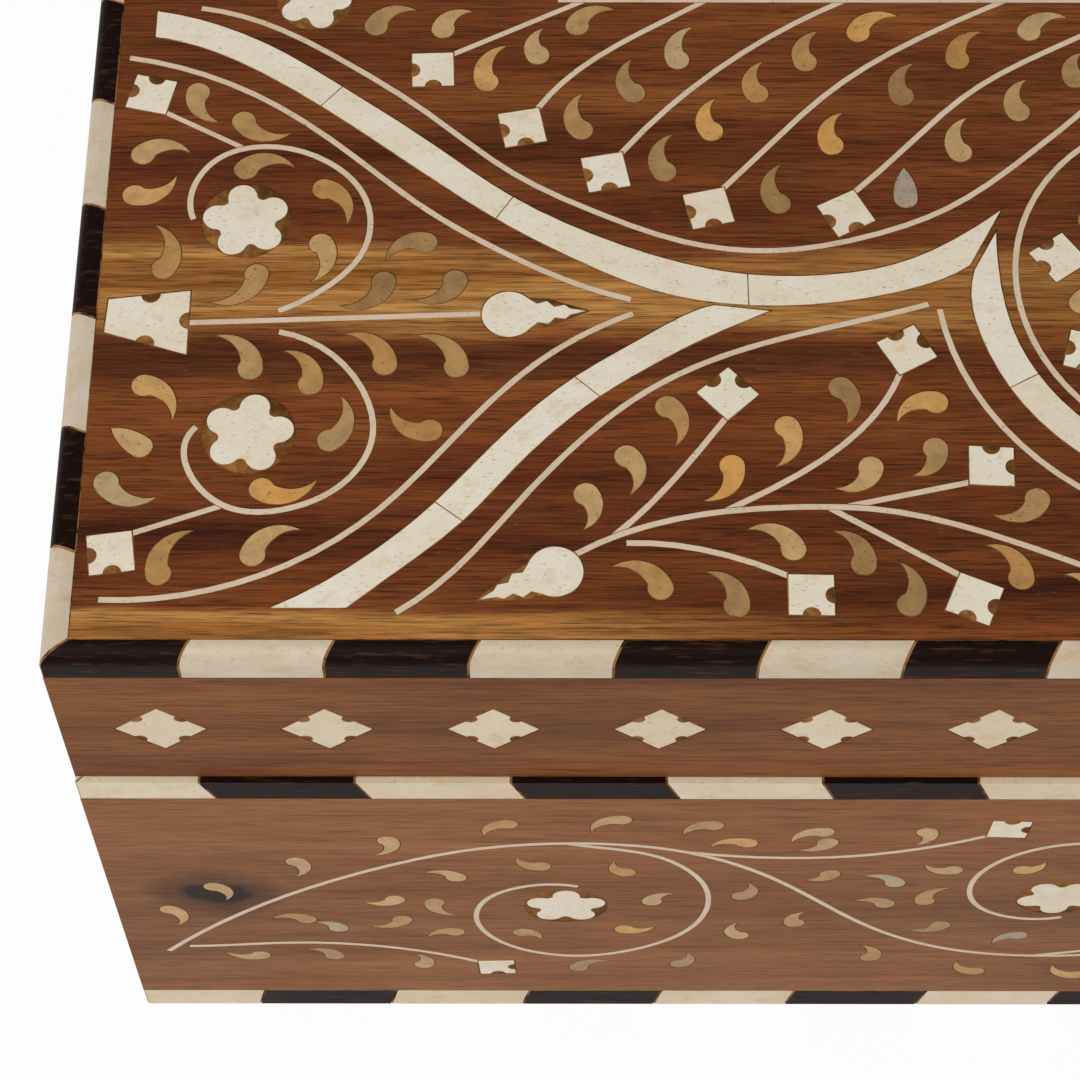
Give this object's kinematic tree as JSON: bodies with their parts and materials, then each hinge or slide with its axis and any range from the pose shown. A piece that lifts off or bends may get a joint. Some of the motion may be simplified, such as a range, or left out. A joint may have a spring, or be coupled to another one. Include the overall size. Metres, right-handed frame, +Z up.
{
  "type": "inlaid wooden box",
  "caption": "Rectangular wooden box with a hinged lid, bone and ebony edge strips, and floral bone inlay over the lid and sides.",
  "frame": {"origin": "middle of the box's footprint, on the surface it stands on", "axes": "+X along the box's length to the right seen from the front, +Y to the hinged back, +Z up"},
  "size_m": [0.262, 0.178, 0.102],
  "materials": {
    "rosewood": "hand-waxed satin",
    "base_wood": "sanded, unpolished",
    "ebony": "waxed satin",
    "bone": "sanded and waxed bone",
    "amber_bone": "dyed and waxed bone and horn",
    "hinge_brass": "aged, lightly brushed",
    "screw_brass": "aged"
  },
  "bodies": {
    "body": {"back_buds": "bone", "back_flowers": "bone", "back_leaves": "amber_bone", "back_panel": "rosewood", "back_stringing": "bone", "base_bone_strip": "bone", "base_ebony_strip": "ebony", "bottom_panel": "base_wood", "front_buds": "bone", "front_flowers": "bone", "front_leaves": "amber_bone", "front_panel": "rosewood", "front_stringing": "bone", "hinge_body_screws": "screw_brass", "hinge_left_body_leaf": "hinge_brass", "hinge_left_pin": "hinge_brass", "hinge_right_body_leaf": "hinge_brass", "hinge_right_pin": "hinge_brass", "left_buds": "bone", "left_flowers": "bone", "left_leaves": "amber_bone", "left_panel": "rosewood", "left_stringing": "bone", "right_buds": "bone", "right_flowers": "bone", "right_leaves": "amber_bone", "right_panel": "rosewood", "right_stringing": "bone", "rim_bone_strip": "bone", "rim_ebony_strip": "ebony"},
    "lid": {"hinge_left_lid_leaf": "hinge_brass", "hinge_lid_screws": "screw_brass", "hinge_right_lid_leaf": "hinge_brass", "lid_back_diamonds": "bone", "lid_back_rail": "rosewood", "lid_bands": "bone", "lid_border_bone": "bone", "lid_border_ebony": "ebony", "lid_buds": "bone", "lid_flowers": "bone", "lid_front_diamonds": "bone", "lid_front_rail": "rosewood", "lid_leaves": "amber_bone", "lid_left_diamonds": "bone", "lid_left_rail": "rosewood", "lid_panel": "rosewood", "lid_right_diamonds": "bone", "lid_right_rail": "rosewood", "lid_stringing": "bone", "lid_tulips": "bone"}
  },
  "joints": [
    {"name": "lid_hinge", "type": "hinge", "parent": "body", "child": "lid", "pos_m": [0, 0.0867, 0.07212], "axis": [-1, 0, 0], "range_deg": [0, 100]}
  ]
}
